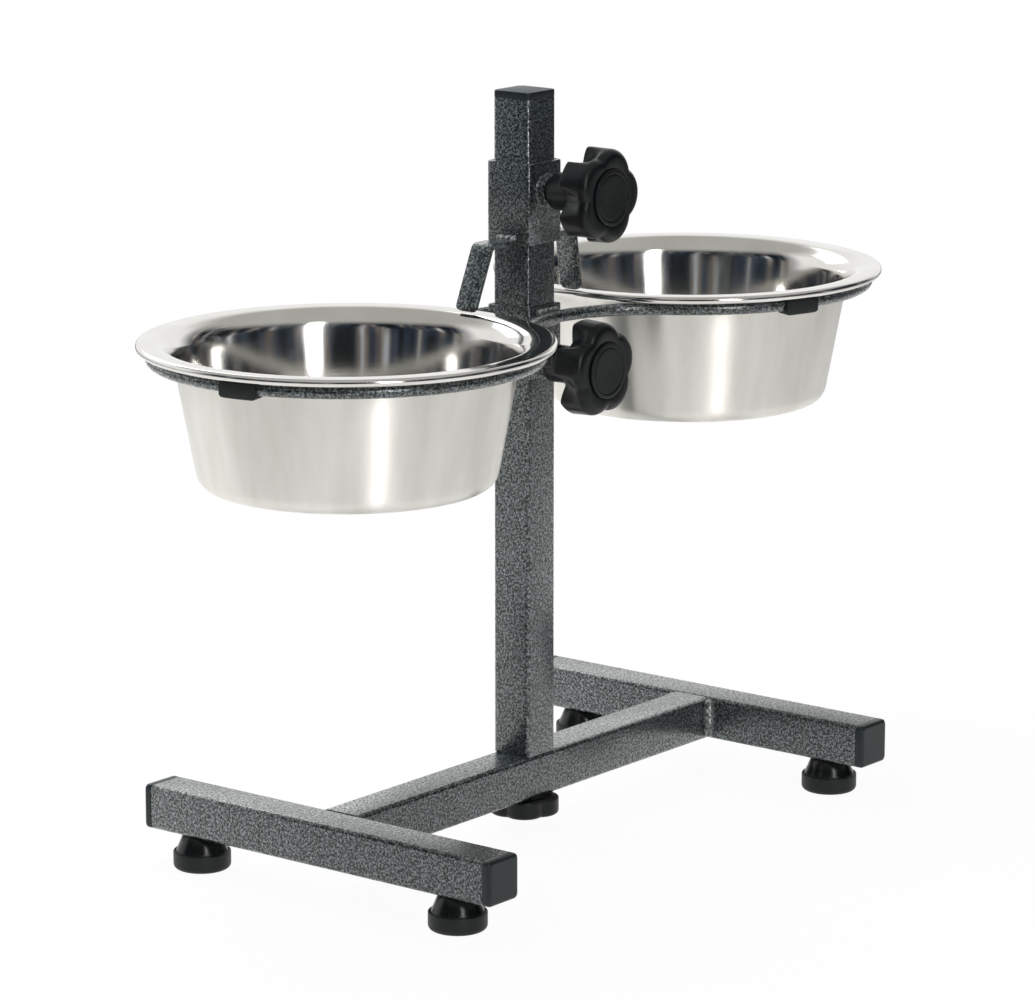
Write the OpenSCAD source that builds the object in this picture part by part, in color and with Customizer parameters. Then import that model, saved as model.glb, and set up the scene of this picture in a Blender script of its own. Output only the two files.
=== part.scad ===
// Height-adjustable dog feeder stand with two lift-out bowls.
// Millimetres, +Z up, the floor is Z = 0, the post axis is X = Y = 0.
// The bowls lie along X and the clamp knobs face -Y.

/* [Square tube] */
// outside size of the base and post tube
tube_size = 25; // [20:0.5:40]
// wall of every base and post tube
tube_wall = 1.5; // [1:0.1:3]
// outside corner radius of the tube
tube_corner = 2.5; // [1:0.1:4]

/* [Base] */
// distance from the middle to the centre line of each cross beam
beam_offset = 172.5; // [140:0.5:220]
// overall length of a cross beam over its end caps
beam_length = 245; // [200:1:320]
// leg length of the weld fillets in the beam corners
weld_leg = 4.1; // [2:0.1:8]

/* [Tube caps] */
// thickness of the visible cap lip
cap_lip = 5; // [2:0.1:8]
// rounding of the outer cap edges
cap_round = 2; // [0.5:0.1:2.4]
// length of the plug inside the tube
cap_plug = 14; // [8:0.5:25]
// wall of the hollow plug
cap_plug_wall = 2; // [1:0.1:4]
// gap between plug and tube wall
cap_fit = 0.05; // [0.02:0.01:0.2]
// radius of the shallow dome on the post cap
cap_dome = 110; // [80:1:300]

/* [Feet] */
// distance of each foot centre from the end of the beam
foot_inset = 31.5; // [18:0.5:60]
// overall height of a foot
foot_height = 20; // [12:0.5:30]
// outside diameter of the foot disc
foot_disc_d = 32; // [24:0.5:45]
// height of the foot disc
foot_disc_h = 10.3; // [6:0.1:16]
// diameter of the cone where it meets the disc
foot_cone_base_d = 28.6; // [20:0.1:40]
// diameter of the cone under the beam
foot_cone_top_d = 20.6; // [14:0.1:24]
// rounding of the tread edge
foot_round = 3; // [1:0.1:5]
// shank diameter of the foot screws
foot_screw_d = 5; // [4:0.1:6]
// head diameter of the foot screws
foot_screw_head_d = 9; // [7:0.1:12]
// depth of the head recess under each foot
foot_recess = 6; // [4:0.1:9]
// height of the foot screw heads
foot_screw_head_h = 3; // [2:0.1:4]
// gap round the foot screw heads
foot_head_gap = 0.5; // [0.2:0.1:1]
// reach of the foot screws past the beam wall
foot_screw_reach = 5; // [2:0.5:12]

/* [Post] */
// length of the post tube
post_length = 373.5; // [250:1:500]
// height of the threaded plug in the foot of the post
post_plug_h = 15; // [8:0.5:30]

/* [Clamp screws] */
// stud diameter
stud_d = 8; // [6:0.5:12]
// running gap round the stud
stud_fit = 0.05; // [0.02:0.01:0.1]
// gap round the base stud in the beam walls
stud_hole_gap = 0.3; // [0.1:0.05:1]
// gap between the stud tip and the post
stud_tip_gap = 0.05; // [0.02:0.01:0.2]
// chamfer of the stud tip
stud_chamfer = 1; // [0.5:0.1:2]
// plastic left between the stud end and the knob face
stud_cover = 4; // [2:0.1:6]
// distance the base stud ends below the top of its plug
base_stud_short = 2; // [1:0.1:5]

/* [Star knobs] */
// diameter across the lobes
knob_d = 53; // [40:0.5:70]
// number of lobes
knob_lobes = 5; // [4:1:8]
// radius of each lobe
knob_lobe_r = 14.9; // [12:0.1:18]
// depth of the scallops between the lobes
knob_scallop = 3.6; // [2:0.1:6]
// thickness of the lobed body
knob_body = 18; // [10:0.5:24]
// rounding of the front edge
knob_round = 5; // [1:0.1:6]
// width of the sloping rear edge
knob_slope_run = 6.5; // [1:0.1:9]
// height of the sloping rear edge
knob_slope_rise = 3.3; // [0.5:0.1:6]
// hub diameter
knob_hub_d = 21; // [14:0.5:26]
// hub length behind the lobes
knob_hub = 20; // [10:0.5:40]
// diameter of the round face cap
knob_cap_d = 31.5; // [20:0.5:40]
// depth the face cap is let into the knob
knob_cap_seat = 1.6; // [0.8:0.1:3]
// height of the face cap above the knob
knob_cap_proud = 1.2; // [0.4:0.1:3]
// gap round the face cap
knob_cap_fit = 0.05; // [0.02:0.01:0.2]
// width of the step round the face cap
knob_cap_edge = 1; // [0.4:0.1:2]
// depth of the step round the face cap
knob_cap_step = 0.5; // [0.2:0.1:1]
// outer diameter of the groove in the face cap
knob_groove_d = 25.5; // [16:0.5:28]
// width of the groove in the face cap
knob_groove_w = 1.2; // [0.6:0.1:3]
// depth of the groove in the face cap
knob_groove_depth = 0.6; // [0.2:0.1:1]
// turn of the hold-down knob at rest
retainer_knob_turn = 1.4; // [0:0.1:72]
// turn of the carrier knob at rest
carrier_knob_turn = 21; // [0:0.1:72]
// turn of the base knob at rest
base_knob_turn = 69.8; // [0:0.1:72]
// diameter of the base knob across its lobes
base_knob_d = 40; // [30:0.5:60]
// thickness of the base knob
base_knob_body = 10.5; // [8:0.5:14]
// radius of each lobe of the base knob
base_knob_lobe_r = 11.2; // [9:0.1:16]
// depth of the scallops of the base knob
base_knob_scallop = 2.7; // [1.5:0.1:5]
// rounding of the front edge of the base knob
base_knob_round = 2.5; // [1:0.1:4]
// width and height of the sloping rear edge of the base knob
base_knob_slope = 1.5; // [0.5:0.1:4]
// gap between the base knob and the beam
base_knob_gap = 0.5; // [0.2:0.05:2]
// outer diameter of the face ring on the base knob
base_knob_ring_d = 24; // [16:0.5:32]
// height of the face ring on the base knob
base_knob_ring = 0.8; // [0.4:0.1:2]
// width of the face ring on the base knob
base_knob_ring_w = 1.5; // [0.8:0.1:4]

/* [Sleeves] */
// gap between a sleeve and the post on each side
sleeve_gap = 0.5; // [0.2:0.05:1]
// wall of both sleeves
sleeve_wall = 2; // [1.5:0.1:4]
// outside corner radius of the sleeves
sleeve_corner = 2.5; // [1:0.1:5]
// length of the carrier sleeve
carrier_length = 40; // [30:0.5:80]
// height of the lower edge of the carrier sleeve
carrier_bottom = 263; // [90:0.5:300]
// distance from that edge up to the carrier nut boss
carrier_boss_edge = 0.1; // [0.1:0.1:20]
// length of the hold-down sleeve
retainer_length = 45.5; // [30:0.5:80]
// height of the lower edge of the hold-down sleeve above the bowl rims
retainer_rise = 33.45; // [25:0.05:50]
// height of the hold-down clamp screw above that edge
retainer_screw = 30; // [10:0.1:40]
// diameter of the welded nut boss
boss_d = 17; // [13:0.5:24]
// length of the welded nut boss
boss_length = 5; // [4:0.1:12]
// step round the front edge of the boss
boss_step = 1; // [0.5:0.1:2]
// gap between the carrier boss and its knob
carrier_knob_gap = 0.5; // [0.2:0.05:4]
// gap between the hold-down boss and its knob
retainer_knob_gap = 3; // [0.2:0.05:4]

/* [Bowl ring] */
// rod diameter of the bowl ring
rod_d = 7; // [5:0.1:10]
// reach of the bowl rim outside the centre line of its ring
rim_overhang = 8.5; // [7:0.1:11]
// distance from the post axis to each bowl axis
bowl_offset = 152.5; // [130:0.5:190]
// distance from the top of the carrier sleeve to the rod axis
rod_drop = 6.5; // [4:0.1:20]
// height of the dressed butt welds above the rod surface
rod_butt_rise = 0.1; // [0.05:0.05:0.5]
// length of the dressed butt welds
rod_butt_length = 3; // [1:0.1:6]
// radius of the weld beads on the rod
rod_weld_r = 2.4; // [1:0.1:4]
// length of the weld beads on the rod
rod_weld_length = 18; // [8:0.5:26]
// distance of the bead centres from the sleeve face
rod_weld_out = 0.9; // [0.3:0.1:2]
// height of the bead centres above and below the rod
rod_weld_lift = 0.2; // [0:0.1:1]

/* [Ring pads] */
// arc angle covered by one pad
pad_angle = 11.5; // [6:0.5:25]
// number of pads on each ring
pad_count = 3; // [2:1:4]
// turn of the first left pad from the outward direction
pad_turn_left = 8.8; // [0:0.1:20]
// turn of the first right pad from the outward direction
pad_turn_right = 13.2; // [0:0.1:20]
// height of the pad top above the rod axis
pad_top = 7.2; // [5:0.1:12]
// depth of the pad below the rod axis
pad_bottom = 5.6; // [4:0.1:10]
// reach of the pad towards the bowl
pad_in = 6; // [4.5:0.1:9]
// reach of the pad away from the bowl
pad_out = 5.3; // [4.2:0.1:7]
// gap between the pad and the rod
pad_fit = 0.05; // [0.02:0.01:0.2]
// width of the snap slot in the pad
pad_slot = 4.6; // [2:0.1:6.5]
// direction of the snap slot, from outward through up
pad_slot_angle = 215; // [200:1:250]
// chamfer of the lower pad edges
pad_chamfer = 1.5; // [0.5:0.1:2.5]
// gap between the pad top and the rolled edge of the bowl
pad_roll_gap = 0.8; // [0.3:0.1:1.5]
// height of the pad shoulder below the top of the rod
pad_shoulder_low = 1; // [0.5:0.1:2]
// height of the pad neck above the top of the rod
pad_shoulder_high = 1.4; // [0.5:0.1:2]

/* [Hold-down hooks] */
// width of the hook strip
hook_width = 14; // [10:0.5:25]
// thickness of the hook strip
hook_thick = 3; // [2:0.1:5]
// distance from the bowl rim back to the bend centre
hook_set_back = 5.5; // [3:0.1:9]
// outside radius of the bend
hook_bend = 5; // [4:0.1:12]
// outward lean of the left leg
hook_lean_left = 24; // [0:0.5:35]
// outward lean of the right leg
hook_lean_right = 9; // [0:0.5:35]
// gap between the leg tips and the bowl rims
hook_tip_gap = 0.3; // [0.2:0.05:3]
// corner radius of the leg tip
hook_tip = 3.5; // [1:0.1:6]
// radius of the hook weld beads
hook_weld_r = 2.2; // [1:0.1:4]

/* [Bowls] */
// outside diameter of the rim
bowl_rim_d = 225; // [180:1:280]
// overall height of a bowl
bowl_height = 79; // [50:0.5:120]
// sheet thickness
bowl_sheet = 0.8; // [0.5:0.1:1.5]
// outside radius of the rolled edge
bowl_roll = 2.1; // [1.6:0.1:4]
// angle below the outward direction where the rolled edge ends
bowl_roll_end = 170; // [120:1:175]
// width of the flat rim inside the roll
bowl_flat = 6; // [3:0.1:20]
// radius of the flare between rim and wall
bowl_flare = 13; // [4:0.1:20]
// slope of the wall from upright
bowl_slope = 10.5; // [4:0.1:20]
// inside radius between wall and floor
bowl_floor_r = 9; // [4:0.1:20]
// gap between the rim and the ring pads
bowl_seat_gap = 0.05; // [0.02:0.01:0.2]

/* [Hidden] */
$fn = 96;
tiny = 0.01;
cut_over = 1;
least_corner = 0.2;
edge_over = 0.05;
hub_run = 2;
beam_z = foot_height + tube_size / 2;
beam_top = foot_height + tube_size;
tube_in = tube_size - 2 * tube_wall;
tube_in_corner = max(tube_corner - tube_wall, least_corner);
plug_side = tube_in - 2 * cap_fit;
plug_corner = max(tube_in_corner - cap_fit, least_corner);
beam_tube = beam_length - 2 * cap_lip;
foot_offset = beam_length / 2 - foot_inset;
center_length = 2 * beam_offset - tube_size;
post_top = beam_top + post_length;
sleeve_in = tube_size + 2 * sleeve_gap;
sleeve_out = sleeve_in + 2 * sleeve_wall;
sleeve_in_corner = max(sleeve_corner - sleeve_wall, least_corner);
sleeve_face = sleeve_out / 2;
stud_hole_d = stud_d + 2 * stud_fit;
carrier_knob_back = sleeve_face + boss_length + carrier_knob_gap;
retainer_knob_back = sleeve_face + boss_length + retainer_knob_gap;
stud_back = tube_size / 2 + stud_tip_gap;
knob_face = knob_hub + knob_body;
stud_end = knob_face - knob_cap_seat - stud_cover;
base_stud_end = base_knob_body - stud_cover - stud_fit;
lobe_half = 180 / knob_lobes;
carrier_screw_z = carrier_bottom + carrier_boss_edge + boss_d / 2;
ring_r = bowl_rim_d / 2 - rim_overhang;
rod_z = carrier_bottom + carrier_length - rod_drop;
waist_y = sleeve_face + rod_d / 2;
waist_r = (bowl_offset * bowl_offset + waist_y * waist_y - ring_r * ring_r) / (2 * (ring_r - waist_y));
waist_c = waist_r + waist_y;
waist_angle = atan2(waist_c, bowl_offset);
rim_z = rod_z + pad_top + bowl_seat_gap + bowl_sheet;
retainer_bottom = rim_z + retainer_rise;
retainer_screw_z = retainer_bottom + retainer_screw;
hook_reach = bowl_offset - bowl_rim_d / 2 - hook_set_back;
hook_center_z = retainer_bottom + hook_thick - hook_bend;
roll_c = bowl_rim_d / 2 - bowl_roll;
flare_c = roll_c - bowl_flat;
pad_seat_in = flare_c - ring_r;
pad_seat_out = roll_c - bowl_roll - pad_roll_gap - ring_r;
flare_end_r = flare_c - bowl_flare * cos(bowl_slope);
flare_end_z = -bowl_flare + bowl_flare * sin(bowl_slope);
floor_z = -bowl_height + bowl_sheet;
floor_c_z = floor_z + bowl_floor_r;
wall_low_z = floor_c_z - bowl_floor_r * sin(bowl_slope);
wall_length = (flare_end_z - wall_low_z) / cos(bowl_slope);
wall_low_r = flare_end_r - wall_length * sin(bowl_slope);
floor_c_r = wall_low_r - bowl_floor_r * cos(bowl_slope);

bend_step = 0.01;
bend_lap = 0.05;

hammer = [0.27, 0.28, 0.29];
black = [0.06, 0.06, 0.07];
steel = [0.78, 0.78, 0.77];
zinc = [0.62, 0.63, 0.64];

// square with rounded corners, centred
module rounded_square(side, corner) {
    square([side, side - 2 * corner], center = true);
    square([side - 2 * corner, side], center = true);
    for (sx = [-1, 1], sy = [-1, 1])
        translate([sx * (side / 2 - corner), sy * (side / 2 - corner)]) circle(r = corner);
}

// square tube standing on Z = 0
module square_tube(length, side, corner, wall, inner_corner) {
    linear_extrude(length) difference() {
        rounded_square(side, corner);
        rounded_square(side - 2 * wall, inner_corner);
    }
}

module base_tube(length) {
    square_tube(length, tube_size, tube_corner, tube_wall, tube_in_corner);
}

// profile of a cap lip with two rounded outer corners, lower edge on Y = 0
module lip_profile() {
    translate([-tube_size / 2, 0]) square([tube_size, cap_lip - cap_round]);
    translate([-tube_size / 2 + cap_round, 0]) square([tube_size - 2 * cap_round, cap_lip]);
    for (s = [-1, 1])
        translate([s * (tube_size / 2 - cap_round), cap_lip - cap_round]) circle(r = cap_round);
}

// rounded lip of a tube cap standing on Z = 0
module cap_lip_solid() {
    intersection() {
        linear_extrude(cap_lip) rounded_square(tube_size, tube_corner);
        rotate([90, 0, 0]) translate([0, 0, -tube_size]) linear_extrude(2 * tube_size) lip_profile();
        rotate([90, 0, 90]) translate([0, 0, -tube_size]) linear_extrude(2 * tube_size) lip_profile();
    }
}

// hollow plug below the lip
module cap_plug_solid() {
    translate([0, 0, -cap_plug]) difference() {
        linear_extrude(cap_plug + tiny) rounded_square(plug_side, plug_corner);
        translate([0, 0, -tiny]) linear_extrude(cap_plug - cap_plug_wall)
            square(plug_side - 2 * cap_plug_wall, center = true);
    }
}

module tube_cap() {
    cap_lip_solid();
    cap_plug_solid();
}

module cross_beam(side) {
    difference() {
        translate([side * beam_offset, beam_tube / 2, beam_z]) rotate([90, 0, 0]) base_tube(beam_tube);
        for (end = [-1, 1])
            translate([side * beam_offset, end * foot_offset, foot_height - cut_over])
                cylinder(d = foot_screw_d + 2 * stud_fit, h = tube_wall + 2 * cut_over);
    }
}

module cross_beam_left() color(hammer) cross_beam(-1);
module cross_beam_right() color(hammer) cross_beam(1);

module center_beam() color(hammer) difference() {
    translate([-center_length / 2, 0, beam_z]) rotate([90, 0, 90]) base_tube(center_length);
    translate([0, 0, foot_height - cut_over])
        cylinder(d = stud_d + 2 * stud_hole_gap, h = tube_size + 2 * cut_over);
}

// upright fillet welds in the four inner corners of the base
module base_weld_beads() color(hammer)
    for (sx = [-1, 1], sy = [-1, 1])
        translate([sx * center_length / 2, sy * tube_size / 2, foot_height + tube_corner])
            scale([-sx, sy, 1]) weld_fillet(tube_size - 2 * tube_corner);

module weld_fillet(height) {
    linear_extrude(height) intersection() {
        square(weld_leg);
        circle(r = weld_leg);
    }
}

module end_cap(side, end)
    color(black) translate([side * beam_offset, end * beam_tube / 2, beam_z])
        rotate([-end * 90, 0, 0]) tube_cap();

module end_cap_left_front() end_cap(-1, -1);
module end_cap_left_back() end_cap(-1, 1);
module end_cap_right_front() end_cap(1, -1);
module end_cap_right_back() end_cap(1, 1);

// half section of a foot
module foot_profile() {
    rim = foot_disc_d / 2;
    cone_base = foot_cone_base_d / 2;
    lip = (rim - cone_base) / 2;
    square([rim - foot_round, foot_round]);
    translate([0, foot_round]) square([rim, foot_disc_h - foot_round - lip]);
    translate([rim - foot_round, foot_round]) intersection() {
        circle(r = foot_round);
        translate([0, -foot_round]) square(foot_round);
    }
    translate([rim - lip, foot_disc_h - lip]) circle(r = lip);
    polygon([[0, foot_disc_h - lip], [cone_base, foot_disc_h - lip],
        [foot_cone_top_d / 2, foot_height], [0, foot_height]]);
}

module foot(side, end)
    color(black) translate([side * beam_offset, end * foot_offset, 0]) difference() {
        rotate_extrude() foot_profile();
        translate([0, 0, -cut_over]) {
            cylinder(d = foot_screw_d + 2 * stud_fit, h = foot_height + 2 * cut_over);
            cylinder(d = foot_screw_head_d + 2 * foot_head_gap, h = foot_recess + cut_over);
        }
    }

module foot_left_front() foot(-1, -1);
module foot_left_back() foot(-1, 1);
module foot_right_front() foot(1, -1);
module foot_right_back() foot(1, 1);

module foot_screws() color(zinc)
    for (side = [-1, 1], end = [-1, 1])
        translate([side * beam_offset, end * foot_offset, 0]) {
            translate([0, 0, foot_recess - foot_screw_head_h])
                cylinder(d = foot_screw_head_d, h = foot_screw_head_h);
            translate([0, 0, foot_recess - tiny])
                cylinder(d = foot_screw_d, h = foot_height + tube_wall + foot_screw_reach - foot_recess);
        }

module post() color(hammer) translate([0, 0, beam_top]) base_tube(post_length);

module post_top_cap() color(black) translate([0, 0, post_top]) intersection() {
    tube_cap();
    translate([0, 0, cap_lip - cap_dome]) sphere(r = cap_dome, $fn = 180);
}

module post_thread_plug() color(zinc) translate([0, 0, beam_top]) difference() {
    linear_extrude(post_plug_h) rounded_square(plug_side, plug_corner);
    translate([0, 0, -cut_over]) cylinder(d = stud_hole_d, h = post_plug_h + 2 * cut_over);
}

// outline of a lobed knob: lobes joined by tangent scallops
module knob_outline(d, lobe_r, scallop) {
    lobe_c = d / 2 - lobe_r;
    notch_r = d / 2 - scallop;
    scallop_r = (lobe_c * lobe_c + notch_r * notch_r - 2 * lobe_c * notch_r * cos(lobe_half)
        - lobe_r * lobe_r) / (2 * lobe_r - 2 * notch_r + 2 * lobe_c * cos(lobe_half));
    scallop_c = notch_r + scallop_r;
    difference() {
        polygon([for (i = [0 : 2 * knob_lobes - 1])
            let (r = i % 2 == 0 ? lobe_c : scallop_c, a = i * lobe_half) [r * cos(a), r * sin(a)]]);
        for (i = [0 : knob_lobes - 1])
            rotate((2 * i + 1) * lobe_half) translate([scallop_c, 0]) circle(r = scallop_r);
    }
    for (i = [0 : knob_lobes - 1])
        rotate(2 * i * lobe_half) translate([lobe_c, 0]) circle(r = lobe_r);
}

// half section of a knob body: sloping rear edge, rounded front edge
module knob_envelope(d, body, front_round, slope_run, slope_rise) {
    r = d / 2 + edge_over;
    edge_z = body - front_round;
    polygon([[0, 0], [r - slope_run, 0], [r, slope_rise], [r, edge_z], [0, edge_z]]);
    translate([0, slope_rise]) square([r - front_round, body - slope_rise]);
    translate([r - front_round, edge_z]) circle(r = front_round);
}

module side_knob_body() {
    intersection() {
        linear_extrude(knob_body) knob_outline(knob_d, knob_lobe_r, knob_scallop);
        rotate_extrude() knob_envelope(knob_d, knob_body, knob_round, knob_slope_run, knob_slope_rise);
    }
}

module base_knob_body_solid() {
    intersection() {
        linear_extrude(base_knob_body) knob_outline(base_knob_d, base_knob_lobe_r, base_knob_scallop);
        rotate_extrude()
            knob_envelope(base_knob_d, base_knob_body, base_knob_round, base_knob_slope, base_knob_slope);
    }
}

// clamp knob: hub from Z = 0, lobed body, seat for the face cap
module side_grip() {
    difference() {
        union() {
            translate([0, 0, knob_hub]) side_knob_body();
            cylinder(d = knob_hub_d, h = knob_hub + hub_run);
        }
        translate([0, 0, -cut_over]) cylinder(d = stud_hole_d, h = stud_end + stud_fit + cut_over);
        translate([0, 0, knob_face - knob_cap_seat])
            cylinder(d = knob_cap_d + 2 * knob_cap_fit, h = knob_cap_seat + cut_over);
    }
}

// round cap in the knob face with a narrow groove
module side_cap() {
    height = knob_cap_seat + knob_cap_proud;
    translate([0, 0, knob_face - knob_cap_seat]) difference() {
        union() {
            cylinder(d = knob_cap_d, h = height - knob_cap_step);
            cylinder(d = knob_cap_d - 2 * knob_cap_edge, h = height);
        }
        translate([0, 0, height - knob_groove_depth]) difference() {
            cylinder(d = knob_groove_d, h = knob_groove_depth + cut_over);
            translate([0, 0, -cut_over])
                cylinder(d = knob_groove_d - 2 * knob_groove_w, h = knob_groove_depth + 3 * cut_over);
        }
    }
}

// threaded stud with a chamfered tip, from -back to +front
module stud(back, front) {
    r = stud_d / 2;
    rotate_extrude() polygon([[0, -back], [r - stud_chamfer, -back], [r, -back + stud_chamfer],
        [r, front], [0, front]]);
}

// put a knob part on the front of a sleeve with its hub end at distance back, turned about its axis
module at_side_knob(back, z, turn) translate([0, -back, z]) rotate([90, 0, 0]) rotate(turn) children();

module at_carrier_knob() at_side_knob(carrier_knob_back, carrier_screw_z, carrier_knob_turn) children();
module at_retainer_knob() at_side_knob(retainer_knob_back, retainer_screw_z, retainer_knob_turn) children();

module carrier_knob_stud() color(zinc) at_carrier_knob() stud(carrier_knob_back - stud_back, stud_end);
module carrier_knob_grip() color(black) at_carrier_knob() side_grip();
module carrier_knob_cap() color(black) at_carrier_knob() side_cap();
module retainer_knob_stud() color(zinc) at_retainer_knob() stud(retainer_knob_back - stud_back, stud_end);
module retainer_knob_grip() color(black) at_retainer_knob() side_grip();
module retainer_knob_cap() color(black) at_retainer_knob() side_cap();

// knob under the base, face down
module at_base_knob() translate([0, 0, foot_height - base_knob_gap])
    rotate([180, 0, 0]) rotate(base_knob_turn) children();

module base_knob_grip() color(black) at_base_knob() difference() {
    union() {
        base_knob_body_solid();
        translate([0, 0, base_knob_body - tiny]) difference() {
            cylinder(d = base_knob_ring_d, h = base_knob_ring);
            translate([0, 0, -cut_over])
                cylinder(d = base_knob_ring_d - 2 * base_knob_ring_w, h = base_knob_ring + 2 * cut_over);
        }
    }
    translate([0, 0, -cut_over]) cylinder(d = stud_hole_d, h = base_stud_end + stud_fit + cut_over);
}

module base_knob_stud() color(zinc) at_base_knob()
    stud(base_knob_gap + tube_size + post_plug_h - base_stud_short, base_stud_end);

module sleeve(bottom, length, screw_z) {
    difference() {
        translate([0, 0, bottom])
            square_tube(length, sleeve_out, sleeve_corner, sleeve_wall, sleeve_in_corner);
        translate([0, -sleeve_face + sleeve_wall + cut_over, screw_z]) rotate([90, 0, 0])
            cylinder(d = stud_hole_d, h = sleeve_wall + 2 * cut_over);
    }
}

module nut_boss(screw_z) {
    translate([0, -sleeve_face, screw_z]) rotate([90, 0, 0]) difference() {
        union() {
            cylinder(d = boss_d, h = boss_length - boss_step);
            cylinder(d = boss_d - 2 * boss_step, h = boss_length);
        }
        translate([0, 0, -cut_over]) cylinder(d = stud_hole_d, h = boss_length + 2 * cut_over);
    }
}

module carrier_sleeve() color(hammer) sleeve(carrier_bottom, carrier_length, carrier_screw_z);
module retainer_sleeve() color(hammer) sleeve(retainer_bottom, retainer_length, retainer_screw_z);
module carrier_nut_boss() color(hammer) nut_boss(carrier_screw_z);
module retainer_nut_boss() color(hammer) nut_boss(retainer_screw_z);

// arc of round rod about Z from angle a0 over sweep
module rod_arc(radius, a0, sweep) rotate(a0) rotate_extrude(angle = sweep, $fn = 180)
    translate([radius, 0]) circle(d = rod_d, $fn = 48);

module waist(side) translate([0, side * waist_c, 0])
    rod_arc(waist_r, side * -90 - (90 - waist_angle), 180 - 2 * waist_angle);

// two ring rods and two waist rods, butt welded end to end into one loop
module bowl_ring() color(hammer) translate([0, 0, rod_z]) {
    translate([bowl_offset, 0, 0]) rod_arc(ring_r, -180 + waist_angle, 360 - 2 * waist_angle);
    translate([-bowl_offset, 0, 0]) rod_arc(ring_r, waist_angle, 360 - 2 * waist_angle);
    waist(-1);
    waist(1);
    for (sx = [-1, 1], sy = [-1, 1])
        translate([sx * (bowl_offset - ring_r * cos(waist_angle)), sy * ring_r * sin(waist_angle), 0])
            rotate(sx * sy * -waist_angle) rotate([90, 0, 0])
                cylinder(d = rod_d + 2 * rod_butt_rise, h = rod_butt_length, center = true);
}

// beads above and below the rod on both sleeve faces
module ring_weld_beads() color(hammer) difference() {
    for (side = [-1, 1], level = [-1, 1])
        translate([-rod_weld_length / 2, side * (sleeve_face + rod_weld_out),
            rod_z + level * (rod_d / 2 + rod_weld_lift)])
            rotate([0, 90, 0]) cylinder(r = rod_weld_r, h = rod_weld_length, $fn = 32);
    translate([0, 0, rod_z - carrier_length]) linear_extrude(2 * carrier_length)
        rounded_square(sleeve_out, sleeve_corner);
    translate([0, 0, rod_z]) {
        waist(-1);
        waist(1);
    }
}

// section of a ring pad round the rod, X outward from the bowl
module pad_profile() difference() {
    polygon([[-pad_in, -pad_bottom + pad_chamfer], [-pad_in + pad_chamfer, -pad_bottom],
        [pad_out - pad_chamfer, -pad_bottom], [pad_out, -pad_bottom + pad_chamfer],
        [pad_out, rod_d / 2 - pad_shoulder_low], [pad_seat_out, rod_d / 2 + pad_shoulder_high],
        [pad_seat_out, pad_top], [pad_seat_in, pad_top], [-pad_in, rod_d / 2]]);
    circle(d = rod_d + 2 * pad_fit, $fn = 48);
    rotate(pad_slot_angle) translate([0, -pad_slot / 2]) square([pad_in + pad_bottom, pad_slot]);
}

module pad_at(angle) rotate(angle - pad_angle / 2) rotate_extrude(angle = pad_angle, $fn = 180)
    translate([ring_r, 0]) pad_profile();

// pads spread evenly round one ring, the first one turned from the direction first
module ring_pads(side, first) color(black) translate([side * bowl_offset, 0, rod_z])
    for (i = [0 : pad_count - 1]) pad_at(first + i * 360 / pad_count);

module ring_pads_left() ring_pads(-1, 180 + pad_turn_left);
module ring_pads_right() ring_pads(1, pad_turn_right);

// ring sector between two radii and two angles, for sheet bends
module sheet_bend(outer, inner, from, to) {
    steps = ceil((to - from) / 45);
    intersection() {
        difference() {
            circle(r = outer);
            circle(r = inner);
        }
        polygon(concat([[0, 0]], [for (i = [0 : steps])
            let (a = from + (to - from) * i / steps) [2 * outer * cos(a), 2 * outer * sin(a)]]));
    }
}

// strip that leaves the sleeve face, bends down to the bowl rim and leans outward, towards +X
module hook(lean) {
    leg = (hook_center_z + (hook_bend - hook_thick) * sin(lean) - rim_z - hook_tip_gap) / cos(lean);
    difference() {
        translate([0, hook_width / 2, 0]) rotate([90, 0, 0]) linear_extrude(hook_width) {
            thin = hook_thick - 2 * bend_step;
            translate([sleeve_face, retainer_bottom + bend_step])
                square([hook_reach - sleeve_face + bend_lap, thin]);
            translate([hook_reach, hook_center_z]) {
                sheet_bend(hook_bend, hook_bend - hook_thick, lean, 90);
                rotate(lean) translate([hook_bend - hook_thick + bend_step, -leg])
                    square([thin, leg + bend_lap]);
            }
        }
        translate([hook_reach, 0, hook_center_z]) rotate([0, -lean, 0])
            for (s = [-1, 1]) scale([1, s, 1]) tip_corner_cut(leg);
    }
}

// takes the square corner off the tip of a leg that runs to -Z
module tip_corner_cut(leg) {
    translate([0, hook_width / 2 - hook_tip, -leg + hook_tip]) rotate([90, 0, 90])
        linear_extrude(2 * hook_bend) difference() {
            translate([0, -hook_tip - cut_over]) square(hook_tip + cut_over);
            circle(r = hook_tip + bend_step);
        }
}

module hook_right() color(hammer) hook(hook_lean_right);
module hook_left() color(hammer) mirror([1, 0, 0]) hook(hook_lean_left);

module hook_weld_beads() color(hammer)
    for (s = [-1, 1])
        translate([s * sleeve_face, hook_width / 2, retainer_bottom + hook_thick]) rotate([90, 0, 0])
            linear_extrude(hook_width) intersection() {
                circle(r = hook_weld_r);
                translate([s > 0 ? 0 : -2 * hook_weld_r, 0]) square(2 * hook_weld_r);
            }

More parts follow.
